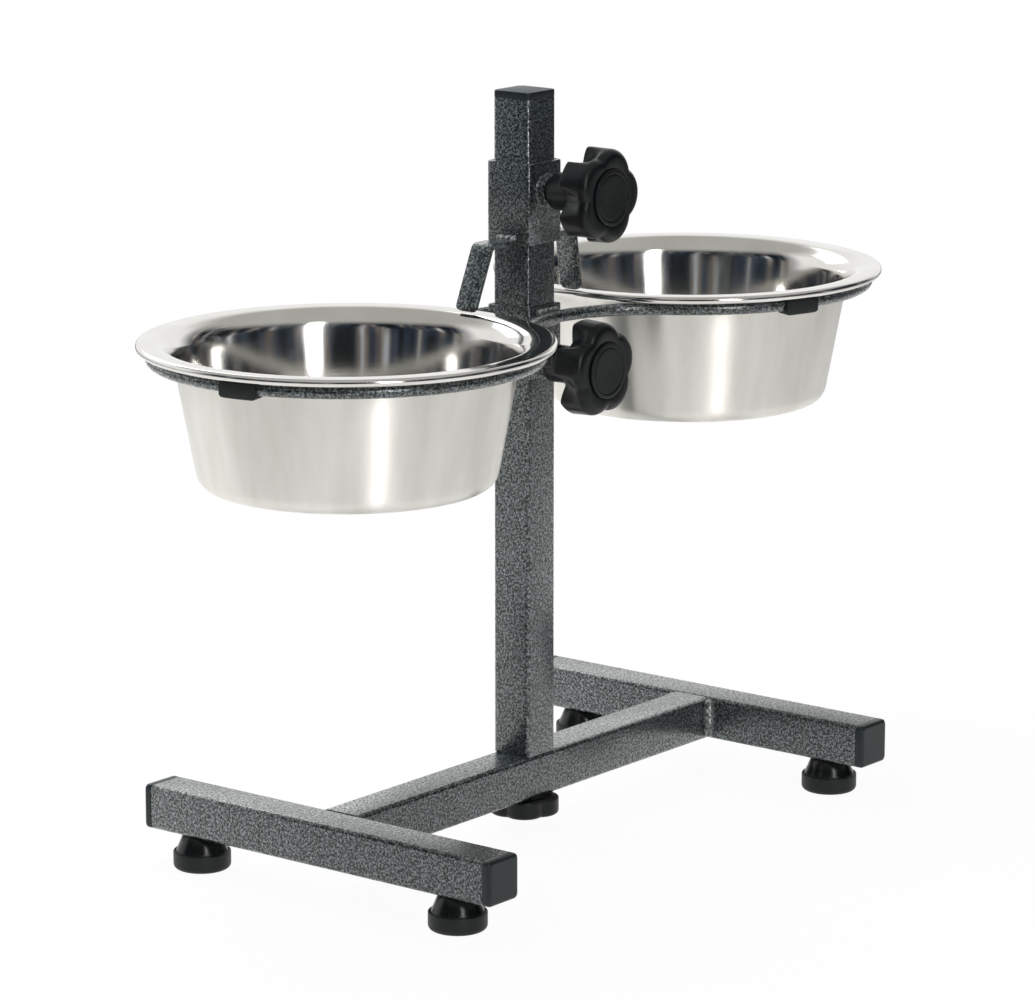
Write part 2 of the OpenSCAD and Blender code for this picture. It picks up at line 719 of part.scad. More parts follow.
// half section of a bowl, rim top on Y = 0; the flats run a hair into the bends
module bowl_profile() {
    thin = bowl_sheet - 2 * bend_step;
    translate([roll_c, -bowl_roll])
        sheet_bend(bowl_roll, bowl_roll - bowl_sheet, -bowl_roll_end, 90);
    translate([flare_c - bend_lap, -bowl_sheet + bend_step]) square([bowl_flat + 2 * bend_lap, thin]);
    translate([flare_c, -bowl_flare]) {
        sheet_bend(bowl_flare, bowl_flare - bowl_sheet, 90, 180 - bowl_slope);
        rotate(-bowl_slope) translate([-bowl_flare + bend_step, -wall_length - bend_lap])
            square([thin, wall_length + 2 * bend_lap]);
    }
    translate([floor_c_r, floor_c_z])
        sheet_bend(bowl_floor_r + bowl_sheet, bowl_floor_r, -90, -bowl_slope);
    translate([0, -bowl_height + bend_step]) square([floor_c_r + bend_lap, thin]);
}

module bowl(side) color(steel) translate([side * bowl_offset, 0, rim_z])
    rotate_extrude($fn = 180) bowl_profile();

module bowl_left() bowl(-1);
module bowl_right() bowl(1);

cross_beam_left();
cross_beam_right();
center_beam();
base_weld_beads();
end_cap_left_front();
end_cap_left_back();
end_cap_right_front();
end_cap_right_back();
foot_left_front();
foot_left_back();
foot_right_front();
foot_right_back();
foot_screws();
post();
post_top_cap();
post_thread_plug();
base_knob_stud();
base_knob_grip();
carrier_sleeve();
carrier_nut_boss();
bowl_ring();
ring_weld_beads();
ring_pads_left();
ring_pads_right();
carrier_knob_stud();
carrier_knob_grip();
carrier_knob_cap();
retainer_sleeve();
retainer_nut_boss();
hook_left();
hook_right();
hook_weld_beads();
retainer_knob_stud();
retainer_knob_grip();
retainer_knob_cap();
bowl_left();
bowl_right();
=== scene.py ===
import bpy
import numpy as np
from math import atan2, cos, degrees, hypot, pi, radians, sin, sqrt
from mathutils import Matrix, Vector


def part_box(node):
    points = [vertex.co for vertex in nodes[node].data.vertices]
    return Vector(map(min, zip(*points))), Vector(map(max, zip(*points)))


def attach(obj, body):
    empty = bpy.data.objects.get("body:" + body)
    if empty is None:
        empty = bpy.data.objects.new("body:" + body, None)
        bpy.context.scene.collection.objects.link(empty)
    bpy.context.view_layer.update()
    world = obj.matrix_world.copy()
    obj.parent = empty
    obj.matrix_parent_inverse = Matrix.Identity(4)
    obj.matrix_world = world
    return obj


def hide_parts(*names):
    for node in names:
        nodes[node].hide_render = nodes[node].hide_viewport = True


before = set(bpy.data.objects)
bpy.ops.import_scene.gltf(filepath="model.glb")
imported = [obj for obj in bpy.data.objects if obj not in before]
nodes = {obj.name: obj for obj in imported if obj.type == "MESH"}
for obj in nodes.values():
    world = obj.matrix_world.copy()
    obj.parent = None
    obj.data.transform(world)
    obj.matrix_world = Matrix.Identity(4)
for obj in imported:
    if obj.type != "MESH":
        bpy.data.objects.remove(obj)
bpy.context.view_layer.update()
MM = 0.001


# Base beams: three lengths of 25 mm square steel tube with rounded corners, cut square and
# welded into an H. The tube is powder coated in a dark hammertone: silver flake in black.

class Socket:
    """A shader output that can be used in Python sums. Each operator adds one Math node."""

    def __init__(self, tree, out):
        self.tree = tree
        self.out = out

    def add(self, kind, settings=None, sockets=None, take=0):
        """Any node: its type, its settings, then the values or links of its input sockets."""
        made = self.tree.nodes.new(kind)
        for key, value in (settings or {}).items():
            if key == "stops":
                ramp = made.color_ramp
                while len(ramp.elements) < len(value):
                    ramp.elements.new(1.0)
                for element, (place, tone) in zip(ramp.elements, value):
                    element.position = place
                    element.color = (*tone, 1.0)
            else:
                setattr(made, key, value)
        for key, value in (sockets or {}).items():
            if isinstance(value, Socket):
                self.tree.links.new(value.out, made.inputs[key])
            else:
                made.inputs[key].default_value = value
        return Socket(self.tree, made.outputs[take])

    def math(self, operation, first, second):
        return self.add("ShaderNodeMath", {"operation": operation}, {0: first, 1: second})

    def __add__(self, other):
        return self.math("ADD", self, other)

    def __sub__(self, other):
        return self.math("SUBTRACT", self, other)

    def __rsub__(self, other):
        return self.math("SUBTRACT", other, self)

    def __mul__(self, other):
        return self.math("MULTIPLY", self, other)

    __radd__ = __add__
    __rmul__ = __mul__

    def noise(self, scale, detail, **more):
        """Noise texture on these coordinates."""
        return self.add("ShaderNodeTexNoise", None,
                        {"Vector": self, "Scale": scale, "Detail": detail, **more})

    def blend(self, low, high):
        """Mix two colours by this value."""
        return self.add("ShaderNodeMix", {"data_type": "RGBA"},
                        {"Factor": self, "A": (*low, 1.0), "B": (*high, 1.0)}, take=2)

    def remap(self, low, high):
        """Stretch the range low to high to 0 to 1 and clip it."""
        return self.add("ShaderNodeMapRange", {"clamp": True}, {"Value": self, 1: low, 2: high})

    def bump(self, strength, depth):
        """Normal that is tilted as if this value were a height of the given depth."""
        return self.add("ShaderNodeBump", None, {"Height": self, "Strength": strength, "Distance": depth})


def new_finish(name, **constants):
    """A material with one Principled shader; constants go on its own sockets."""
    material = bpy.data.materials.new(name)
    material.use_nodes = True
    tree = material.node_tree
    shader = tree.nodes["Principled BSDF"]
    for key, value in constants.items():
        shader.inputs[key.replace("_", " ")].default_value = value
    place = tree.nodes.new("ShaderNodeTexCoord")

    def link(**varying):
        for key, value in varying.items():
            tree.links.new(value.out, shader.inputs[key.replace("_", " ")])

    return material, {"object": Socket(tree, place.outputs["Object"]),
                      "uv": Socket(tree, place.outputs["UV"])}, link


def skin(name, rings, hoop=False, lids=(False, False), along=None, around=None, sharp=35.0):
    """Closed surface: rings[i, j] is point j of ring i, and every ring closes on itself.

    hoop joins the last ring to the first; a lid closes an end ring with a fan about its middle.
    along (one value a ring) and around (one value a point, and one more) give a UV map.
    """
    rings = np.asarray(rings, float)
    count, size = rings.shape[:2]
    steps = count if hoop else count - 1
    i, j = np.meshgrid(np.arange(steps), np.arange(size), indexing="ij")
    corner_ring = np.stack([i, i + 1, i + 1, i], -1).reshape(-1, 4)
    corner_point = np.stack([j, j, j + 1, j + 1], -1).reshape(-1, 4)
    faces = [(corner_ring % count) * size + corner_point % size]
    points = [rings.reshape(-1, 3)]
    fans = []
    for ring, wanted in ((0, lids[0]), (count - 1, lids[1])):
        if wanted:
            middle = count * size + len(fans)
            points.append(rings[ring].mean(0)[None])
            edge = ring * size + np.arange(size)
            after = np.roll(edge, -1)
            pair = (after, edge) if ring == 0 else (edge, after)
            fans.append(np.stack([*pair, np.full(size, middle)], -1))
    points = np.concatenate(points)
    corners = [f.reshape(-1, f.shape[-1]) for f in faces + fans]
    volume = sum((points[f[:, 0]] * np.cross(points[f[:, k]], points[f[:, k + 1]])).sum()
                 for f in corners for k in range(1, f.shape[1] - 1))
    if volume < 0:
        corners = [f[:, ::-1] for f in corners]
        corner_ring, corner_point = corner_ring[:, ::-1], corner_point[:, ::-1]
    mesh = bpy.data.meshes.new(name)
    mesh.from_pydata(points.tolist(), [], [f for block in corners for f in block.tolist()])
    mesh.polygons.foreach_set("use_smooth", np.ones(len(mesh.polygons), bool))
    mesh.set_sharp_from_angle(angle=radians(sharp))
    if along is not None:
        laid = np.stack([np.asarray(around)[corner_point], np.asarray(along)[corner_ring]], -1)
        laid = laid.reshape(-1, 2)
        flat = np.zeros((len(mesh.loops), 2))
        flat[:len(laid)] = laid
        mesh.uv_layers.new(name="laid").data.foreach_set("uv", flat.ravel())
    piece = bpy.data.objects.new(name, mesh)
    bpy.context.scene.collection.objects.link(piece)
    return piece


def dress(piece, body, slot, material, *stands_for):
    """Give a piece its finish and its moving body, and hide the solids it stands for; slot is not used.
    """
    piece.data.materials.append(material)
    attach(piece, body)
    if stands_for:
        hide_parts(*stands_for)


def rounded_square(side, corner, steps=6):
    """Loop round a square with quarter circles of radius corner at its corners."""
    turn = (np.arange(4)[:, None] * 90 + np.linspace(0, 90, steps + 1)) * pi / 180
    quarter = np.arange(4)[:, None] * pi / 2 + pi / 4
    reach = (side / 2 - corner) * sqrt(2)
    x = reach * np.cos(quarter) + corner * np.cos(turn)
    y = reach * np.sin(quarter) + corner * np.sin(turn)
    return np.stack([x.ravel(), y.ravel()], -1)


def tube_rings(length, side, corner, wall, ease):
    """Rings of a square tube along local z: up the outside, over the eased end, back up the inside."""
    inside = rounded_square(side - 2 * wall, max(corner - wall, 0.4))
    levels = [(rounded_square(side - 2 * ease * k, corner), z)
              for k, z in ((1, 0), (0.3, ease * 0.3), (0, ease), (0, length - ease),
                           (0.3, length - ease * 0.3), (1, length))]
    levels += [(inside, length), (inside, length - ease), (inside, ease), (inside, 0)]
    return np.stack([np.column_stack([loop, np.full(len(loop), z)]) for loop, z in levels])


AXES = {"x": ((2, 0, 1), (1, 1, 1)), "y": ((1, 2, 0), (1, 1, 1)), "z": ((0, 1, 2), (1, 1, 1)),
        "front": ((0, 2, 1), (1, -1, 1)), "down": ((0, 1, 2), (1, -1, -1))}


def stand(points, start, facing):
    """Turn local z to a world axis, the front (-y) or down, go to metres and move to start."""
    order, sign = AXES[facing]
    return points[..., order] * sign * MM + np.asarray(start)


HAMMER_STOPS = ((0.14, (0.0015, 0.0027, 0.003)), (0.36, (0.016, 0.024, 0.026)),
                (0.56, (0.058, 0.074, 0.077)), (0.92, (0.26, 0.30, 0.305)))
hammertone, at, link = new_finish("hammertone_paint", Coat_Roughness=0.24, Coat_IOR=1.65)
worms = at["object"].noise(800.0, 1.0, Distortion=0.6)
flake = at["object"].add("ShaderNodeTexVoronoi", {"feature": "F1"},
                         {"Vector": at["object"], "Scale": 640.0})
cloud = at["object"].noise(45.0, 2.0)
silver = worms.remap(0.34, 0.66) * 0.85 + (1 - flake.remap(0.1, 0.7)) * 0.15 + (cloud - 0.5) * 0.08
link(Base_Color=silver.add("ShaderNodeValToRGB", {"stops": HAMMER_STOPS}, {0: silver}),
     Metallic=silver.remap(0.3, 0.9) * 0.4,
     Coat_Weight=0.1 + silver.remap(0.12, 0.55) * 0.9,
     Roughness=0.36 - silver.remap(0.2, 0.9) * 0.1,
     Normal=silver.bump(0.3, 0.0003))

TUBE_CORNER = 2.5
TUBE_WALL = 1.5
SAWN_EASE = 0.5
TUBE_AXES = {"cross_beam_left": "y", "cross_beam_right": "y", "center_beam": "x", "post": "z"}
for name, axis in TUBE_AXES.items():
    low, high = (np.array(corner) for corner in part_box(name))
    run = "xyz".index(axis)
    start = (low + high) / 2
    start[run] = low[run]
    side = (high - low)[(run + 1) % 3] / MM
    rings = tube_rings((high - low)[run] / MM, side, TUBE_CORNER, TUBE_WALL, SAWN_EASE)
    dress(skin(name + "_tube", stand(rings, start, axis)), "base", "hammertone_paint", hammertone, name)


def arc(center, radius, start, end, steps):
    """Points on a circle about center from angle start to angle end, in degrees."""
    turn = np.radians(np.linspace(start, end, steps + 1))
    return np.column_stack([center[0] + radius * np.cos(turn), center[1] + radius * np.sin(turn)])


# Base welds: a short fillet bead stands in each inner corner of the H, laid by hand in small
# overlapping drops and painted with the tubes. Their colour is lighter than the tubes': partly
# the paint's own tone and partly a painted highlight for the glints on the ripples.

weld_finish_with_painted_glint, at, link = new_finish("weld_with_painted_glint", Coat_Weight=1.0, Coat_Roughness=0.1, Coat_IOR=1.6)
spatter_and_glint = at["object"].noise(420.0, 2.0)
# The light end of this tone is partly painted highlight, standing in for glints on the bead ripples.
link(Base_Color=spatter_and_glint.remap(0.35, 0.65).blend((0.045, 0.052, 0.054), (0.40, 0.42, 0.42)),
     Metallic=spatter_and_glint.remap(0.4, 0.65) * 0.6,
     Roughness=0.34 - spatter_and_glint.remap(0.4, 0.65) * 0.12,
     Normal=spatter_and_glint.bump(0.35, 0.0004))

BEAD_RADIUS = 4.1
BEAD_PITCH = 4.2
BEAD_INSET = 0.6
BEAD_END_GAP = 1.0
RIPPLE = 0.09
UNEVEN = 0.06
ASKEW = (0.31, 0.87, 0.38)


def bead(start, end, radius, pitch, seed, steps=72, sides=16):
    """Round bar from start to end; its radius swells once a pitch and fades out at both ends."""
    chance = np.random.default_rng(seed)
    s = np.linspace(0, 1, steps)
    length = np.linalg.norm(np.subtract(end, start))
    ripple = 1 + RIPPLE * np.sin(2 * pi * s * length / pitch)
    ripple += UNEVEN * np.interp(s, np.linspace(0, 1, 12), chance.normal(size=12))
    fade = np.clip(np.minimum(s, 1 - s) * length / radius, 0, 1)
    width = radius * ripple * np.sqrt(1 - (1 - fade) ** 2) + 0.02
    ahead = np.subtract(end, start) / length
    side = np.cross(ahead, ASKEW)
    side /= np.linalg.norm(side)
    over = np.cross(ahead, side)
    turn = np.linspace(0, 2 * pi, sides, endpoint=False)
    ring = np.cos(turn)[:, None] * side + np.sin(turn)[:, None] * over
    line = np.asarray(start) + s[:, None] * np.subtract(end, start)
    return line[:, None] + width[:, None, None] * ring


def join(name, pieces):
    """One mesh object from several."""
    with bpy.context.temp_override(active_object=pieces[0], selected_editable_objects=pieces):
        bpy.ops.object.join()
    pieces[0].name = name
    return pieces[0]


low, high = (np.array(corner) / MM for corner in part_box("center_beam"))
beads = []
corners_of_h = [(x, y) for x in (low[0], high[0]) for y in (low[1], high[1])]
for count, (x, y) in enumerate(corners_of_h):
    x += BEAD_INSET * (1 if x < 0 else -1)
    y += BEAD_INSET * (1 if y > 0 else -1)
    rings = bead((x, y, low[2] + BEAD_END_GAP), (x, y, high[2] - BEAD_END_GAP), BEAD_RADIUS, BEAD_PITCH,
                 count)
    beads.append(skin("base_weld", rings * MM, lids=(True, True)))
dress(join("base_welds", beads), "base", "hammertone_paint", weld_finish_with_painted_glint, "base_weld_beads")


# Tube caps: black moulded plugs pressed into the open tube ends. The lip has the tube's own
# outline with rounded front edges; the one on the post is slightly domed.

black_plastic, at, link = new_finish("black_moulded_plastic", Specular_IOR_Level=0.42)
grain = at["object"].noise(2600.0, 2.0)
flow = at["object"].noise(45.0, 3.0)
link(Base_Color=flow.remap(0.3, 0.7).blend((0.006, 0.0135, 0.015), (0.010, 0.020, 0.022)),
     Roughness=0.30 + grain * 0.1 + flow * 0.08,
     Normal=grain.bump(0.1, 0.0002))

CAP_LIP = 5.0
CAP_ROUND = 2.0
CAP_PLUG = 14.0
CAP_PLUG_SIDE = 21.9
DOME_RADIUS = 110.0


def cap_rings(side, dome=None):
    """Rounded squares stacked along local z: plug, lip, rounded edge, then in over the top."""
    edge = arc((0, CAP_LIP - CAP_ROUND), CAP_ROUND, 0, 90, 8)
    levels = [(CAP_PLUG_SIDE, 1.0, z) for z in (-CAP_PLUG, -0.02, 0.0)]
    levels += [(side - inset, TUBE_CORNER, z) for inset, z in ((0.5, 0.0), (0.1, 0.1), (0.0, 0.35))]
    levels += [(side - 2 * CAP_ROUND + 2 * x, TUBE_CORNER, z) for x, z in edge]
    levels += [((side - 2 * CAP_ROUND) * k, TUBE_CORNER * k, CAP_LIP) for k in (0.85, 0.6, 0.35, 0.12)]
    rings = np.stack([np.column_stack([loop, np.full(len(loop), z)])
                      for loop, z in ((rounded_square(s, c), z) for s, c, z in levels)])
    if dome:
        top = CAP_LIP - (rings[..., 0] ** 2 + rings[..., 1] ** 2) / (2 * dome)
        rings[..., 2] = np.where(rings[..., 2] > 1, np.minimum(rings[..., 2], top), rings[..., 2])
    return rings


for name in ("end_cap_left_front", "end_cap_left_back", "end_cap_right_front", "end_cap_right_back"):
    low, high = (np.array(corner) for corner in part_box(name))
    facing = "front" if name.endswith("front") else "y"
    seat = (low + high) / 2
    seat[1] = low[1] + CAP_LIP * MM if facing == "front" else high[1] - CAP_LIP * MM
    rings = cap_rings((high - low)[0] / MM)
    dress(skin(name + "_plug", stand(rings, seat, facing), lids=(True, True)), "base",
          "black_cap_plastic", black_plastic, name)

low, high = (np.array(corner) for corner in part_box("post_top_cap"))
seat = (low + high) / 2
seat[2] = high[2] - CAP_LIP * MM
rings = cap_rings((high - low)[0] / MM, DOME_RADIUS)
dress(skin("post_top_cap_plug", stand(rings, seat, "z"), lids=(True, True)), "base",
      "black_cap_plastic", black_plastic, "post_top_cap")


# Feet: black moulded glides, a thick disc with a rounded tread under a smooth cone, each held
# by one screw from below. The cone is glossier than the disc.

foot_plastic, at, link = new_finish("black_foot_plastic", Specular_IOR_Level=0.38)
grain = at["object"].noise(1800.0, 3.0)
height = at["object"].add("ShaderNodeSeparateXYZ", None, {0: at["object"]}, take=2)
cone = height.remap(0.0098, 0.0112)
scuff = (1 - height.remap(0.0, 0.003)) * grain.remap(0.35, 0.65)
link(Base_Color=scuff.blend((0.0040, 0.0062, 0.0064), (0.015, 0.018, 0.018)),
     Roughness=0.42 - cone * 0.24 + grain * 0.08,
     Normal=grain.bump(0.08, 0.0002))

FOOT_RIM = 16.0
FOOT_TREAD = 3.0
FOOT_DISC = 10.3
FOOT_LIP = 0.8
FOOT_CONE_BASE = 14.3
FOOT_CONE_TOP = 10.3
FOOT_HEIGHT = 20.0
FOOT_RECESS = 5.0
FOOT_RECESS_DEPTH = 6.0
FOOT_BORE = 2.55


def turned(profile, steps=96):
    """Rings of a turned piece: each profile point (radius, height) swept once round local z."""
    turn = np.linspace(0, 2 * pi, steps, endpoint=False)
    radius, height = np.asarray(profile).T
    return np.stack([radius[:, None] * np.cos(turn), radius[:, None] * np.sin(turn),
                     np.repeat(height[:, None], steps, 1)], -1)


foot_profile = np.concatenate([
    [(FOOT_BORE, FOOT_HEIGHT), (FOOT_BORE, FOOT_RECESS_DEPTH), (FOOT_RECESS, FOOT_RECESS_DEPTH),
     (FOOT_RECESS, 0.4), (FOOT_RECESS + 0.4, 0.0)],
    arc((FOOT_RIM - FOOT_TREAD, FOOT_TREAD), FOOT_TREAD, -90, 0, 10),
    arc((FOOT_RIM - FOOT_LIP, FOOT_DISC - FOOT_LIP), FOOT_LIP, 0, 90, 8),
    arc((FOOT_CONE_BASE + 0.7, FOOT_DISC), 0.5, -90, -160, 5),
    [(FOOT_CONE_BASE * 0.6 + FOOT_CONE_TOP * 0.4, FOOT_DISC + 0.4 * (FOOT_HEIGHT - FOOT_DISC)),
     (FOOT_CONE_TOP + 0.15, FOOT_HEIGHT - 0.3), (FOOT_CONE_TOP - 0.2, FOOT_HEIGHT)]])
for name in ("foot_left_front", "foot_left_back", "foot_right_front", "foot_right_back"):
    low, high = (np.array(corner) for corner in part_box(name))
    seat = (low + high) / 2
    seat[2] = low[2]
    dress(skin(name + "_glide", stand(turned(foot_profile), seat, "z"), hoop=True), "base",
          "black_foot_plastic", foot_plastic, name)


# Screws and threaded pieces: bright zinc-plated steel, mostly hidden. They keep their CAD shape;
# the thread is a ridge in the finish.

zinc, at, link = new_finish("zinc_plate", Metallic=1.0)
swirl = at["object"].noise(220.0, 4.0)
turns = at["object"].add("ShaderNodeTexWave", {"wave_type": "BANDS", "bands_direction": "DIAGONAL"},
                         {"Vector": at["object"], "Scale": 260.0}, take=1)
link(Base_Color=swirl.remap(0.3, 0.7).blend((0.44, 0.45, 0.47), (0.66, 0.67, 0.66)),
     Roughness=0.24 + swirl * 0.22,
     Normal=turns.bump(0.25, 0.0003))
for name in ("foot_screws", "post_thread_plug", "base_knob_stud", "carrier_knob_stud",
             "retainer_knob_stud"):
    nodes[name].data.materials.clear()
    nodes[name].data.materials.append(zinc)


# Star knobs: black moulded grips with five lobes. The two on the sleeves are deep, their lobes
# narrow to fingers behind, a plain hub carries them and a round cap sits in the face.

knob_plastic, at, link = new_finish("black_knob_plastic", Specular_IOR_Level=0.3)
grain = at["object"].noise(2200.0, 2.0)
flow = at["object"].noise(60.0, 3.0)
link(Base_Color=flow.remap(0.3, 0.7).blend((0.0035, 0.0052, 0.0058), (0.006, 0.0085, 0.0095)),
     Roughness=0.26 + grain * 0.08 + flow * 0.08,
     Normal=grain.bump(0.08, 0.0002))

KNOB_LOBES = 5
KNOB_STEPS = 240
BORE_RADIUS = 4.05
around = np.linspace(0, 2 * pi, KNOB_STEPS, endpoint=False)


def star_radius(turn, radius, lobe_radius, scallop_depth):
    """Outline of a knob: lobe circles joined by the scallop circles that touch two neighbours."""
    half = pi / KNOB_LOBES
    lobe = radius - lobe_radius
    notch = radius - scallop_depth
    scallop = (lobe ** 2 + notch ** 2 - 2 * lobe * notch * cos(half) - lobe_radius ** 2) \
        / (2 * lobe_radius - 2 * notch + 2 * lobe * cos(half))
    middle = notch + scallop
    share = lobe_radius / (lobe_radius + scallop)
    touch = atan2(share * middle * sin(half), lobe + share * (middle * cos(half) - lobe))
    off = np.abs((around - turn + half) % (2 * half) - half)
    outer = lobe * np.cos(off) + np.sqrt(np.maximum(lobe_radius ** 2 - (lobe * np.sin(off)) ** 2, 0))
    bite = np.sqrt(np.maximum(scallop ** 2 - (middle * np.sin(half - off)) ** 2, 0))
    inner = middle * np.cos(half - off) - bite
    return np.where(off < touch, outer, inner)


def finger_radius(turn, radius, plateau, valley, depth):
    """Rear outline of a deep knob: full radius within plateau of a lobe, then a smooth dip."""
    half = pi / KNOB_LOBES
    off = np.abs((around - turn + half) % (2 * half) - half)
    dip = np.clip((off - plateau) / (valley - plateau), 0, 1)
    return radius - depth * dip ** 2 * (3 - 2 * dip)


def lobed_body(front_star, rear_star, back, depth, front_round, rear_round):
    """Radius and height of a lobed body's rings, from its rounded rear to its rounded front edge.

    Between the two edges the outline goes in a straight line from the rear star to the front star.
    """
    rear = arc((-rear_round, back + rear_round), rear_round, -90, 0, 6)
    front = arc((-front_round, back + depth - front_round), front_round, 0, 90, 12)
    levels = [(rear_star + inset, height) for inset, height in rear]
    for part in (0.2, 0.4, 0.6, 0.8):
        levels.append((rear_star + part * (front_star - rear_star),
                       rear[-1][1] + part * (front[0][1] - rear[-1][1])))
    return levels + [(front_star + inset, height) for inset, height in front]


def ring_stack(levels):
    """Rings from (radius, height) pairs, where either may be one number or one for each direction."""
    radius = np.stack([np.broadcast_to(r, KNOB_STEPS) for r, _ in levels])
    height = np.stack([np.broadcast_to(z, KNOB_STEPS) for _, z in levels])
    return np.stack([radius * np.cos(around), radius * np.sin(around), height], -1)


KNOB_RADIUS = 26.5
LOBE_RADIUS = 14.9
SCALLOP_DEPTH = 3.6
FINGER_PLATEAU = radians(14.0)
FINGER_VALLEY = radians(30.0)
FINGER_DEPTH = 9.0
KNOB_BODY = 18.0
KNOB_ROUND = 5.0
KNOB_HUB = 20.0
HUB_RADIUS = 10.5
HUB_FILLET = 1.2
REAR_ROUND = 0.9
BORE_DEPTH = 32.45
CAP_SEAT_RADIUS = 15.8
CAP_SEAT_DEPTH = 1.6


def side_knob(turn):
    """Bore, hub, lobed body and the seat for the face cap, from the hub's end at height 0."""
    star = star_radius(turn, KNOB_RADIUS, LOBE_RADIUS, SCALLOP_DEPTH)
    rear_star = finger_radius(turn, KNOB_RADIUS, FINGER_PLATEAU, FINGER_VALLEY, FINGER_DEPTH)
    face = KNOB_HUB + KNOB_BODY
    levels = [(BORE_RADIUS, BORE_DEPTH), (BORE_RADIUS, 0.5), (BORE_RADIUS + 0.5, 0.0)]
    levels += [(HUB_RADIUS - 0.8, 0.0), (HUB_RADIUS - 0.25, 0.25), (HUB_RADIUS, 0.8)]
    levels += [(HUB_RADIUS + HUB_FILLET - x, KNOB_HUB - HUB_FILLET + z)
               for x, z in arc((0, 0), HUB_FILLET, 0, 90, 5)]
    levels += lobed_body(star, rear_star, KNOB_HUB, KNOB_BODY, KNOB_ROUND, REAR_ROUND)
    levels += [(CAP_SEAT_RADIUS + 0.35, face), (CAP_SEAT_RADIUS + 0.1, face - 0.1)]
    levels += [(CAP_SEAT_RADIUS, face - 0.35), (CAP_SEAT_RADIUS, face - CAP_SEAT_DEPTH)]
    return ring_stack(levels)


CAP_RADIUS = 15.75
CAP_FACE = CAP_SEAT_DEPTH + 1.2
CAP_EASE = 0.7
face_cap = np.concatenate([
    [(CAP_RADIUS, 0.0)],
    arc((CAP_RADIUS - CAP_EASE, CAP_FACE - CAP_EASE), CAP_EASE, 0, 90, 6),
    [(CAP_RADIUS - 2.0, CAP_FACE)],
    arc((CAP_RADIUS - 2.9, CAP_FACE + 0.2), 0.8, -15, -165, 8),
    [(CAP_RADIUS - 4.2, CAP_FACE), (9.0, CAP_FACE - 0.06), (5.0, CAP_FACE - 0.16),
     (1.5, CAP_FACE - 0.2)]])
KNOB_TURNS = {"carrier": radians(21.0), "retainer": radians(1.4)}
for name, turn in KNOB_TURNS.items():
    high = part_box(name + "_knob_grip")[1]
    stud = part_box(name + "_knob_stud")
    seat = np.array([0, high[1], (stud[0][2] + stud[1][2]) / 2])
    grip = skin(name + "_knob_star", stand(side_knob(turn), seat, "front"), lids=(True, True), sharp=50)
    dress(grip, name + "_clamp_knob", "black_knob_plastic", knob_plastic, name + "_knob_grip")
    seat[1] -= (KNOB_HUB + KNOB_BODY - CAP_SEAT_DEPTH) * MM
    disc = skin(name + "_knob_disc", stand(turned(face_cap), seat, "front"), lids=(True, True), sharp=50)
    dress(disc, name + "_clamp_knob", "black_knob_plastic", knob_plastic, name + "_knob_cap")

BASE_KNOB_TURN = radians(69.8)
BASE_KNOB_RADIUS = 20.0
BASE_LOBE_RADIUS = 11.2
BASE_SCALLOP_DEPTH = 2.7
BASE_KNOB_BODY = 10.5
BASE_BORE_DEPTH = 6.5
BASE_FRONT_ROUND = 2.5
BASE_REAR_ROUND = 1.2
BASE_RING_RADIUS = 12.0
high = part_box("base_knob_grip")[1]
star = star_radius(BASE_KNOB_TURN, BASE_KNOB_RADIUS, BASE_LOBE_RADIUS, BASE_SCALLOP_DEPTH)
levels = [(BORE_RADIUS, BASE_BORE_DEPTH), (BORE_RADIUS, 0.4), (BORE_RADIUS + 0.4, 0.0)]
levels += lobed_body(star, star, 0.0, BASE_KNOB_BODY, BASE_FRONT_ROUND, BASE_REAR_ROUND)
levels += [(BASE_RING_RADIUS - inset, BASE_KNOB_BODY + rise)
           for inset, rise in ((0, 0), (0.1, 0.6), (0.4, 0.79), (1.1, 0.79), (1.4, 0.6), (1.5, 0))]
rings = stand(ring_stack(levels), (0, 0, high[2]), "down")
grip = skin("base_knob_star", rings, lids=(True, True), sharp=50)
dress(grip, "base_clamp_knob", "black_knob_plastic", knob_plastic, "base_knob_grip")


# Sleeves: two short lengths of 30 mm square tube that slide on the post, each with a round nut
# boss welded on the front for its clamp screw.

SLEEVE_WALL = 2.0
SLEEVE_CORNER = 2.5
SLEEVE_EASE = 0.7
BOSS_RADIUS = 8.5
BOSS_LENGTH = 5.0
BOSS_ROUND = 1.0
BOSS_FILLET = 1.6
boss_profile = np.concatenate([
    [(BORE_RADIUS, 0.0), (BORE_RADIUS, BOSS_LENGTH - 0.5), (BORE_RADIUS + 0.5, BOSS_LENGTH)],
    arc((BOSS_RADIUS - BOSS_ROUND, BOSS_LENGTH - BOSS_ROUND), BOSS_ROUND, 90, 0, 6),
    arc((BOSS_RADIUS + BOSS_FILLET, BOSS_FILLET), BOSS_FILLET, 180, 270, 6)])
for name in ("carrier", "retainer"):
    low, high = (np.array(corner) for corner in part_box(name + "_sleeve"))
    seat = (low + high) / 2
    seat[2] = low[2]
    side, _, length = (high - low) / MM
    rings = tube_rings(length, side, SLEEVE_CORNER, SLEEVE_WALL, SLEEVE_EASE)
    dress(skin(name + "_sleeve_tube", stand(rings, seat, "z")), name, "hammertone_paint", hammertone,
          name + "_sleeve")
    boss_low, boss_high = (np.array(corner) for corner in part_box(name + "_nut_boss"))
    seat = (boss_low + boss_high) / 2
    seat[1] = boss_high[1]
    dress(skin(name + "_boss", stand(turned(boss_profile), seat, "front"), hoop=True), name,
          "hammertone_paint", hammertone, name + "_nut_boss")


# Bowl ring: 7 mm steel rod bent round both bowls in one loop, drawn in to the carrier sleeve at
# the waist and welded to it on both faces.

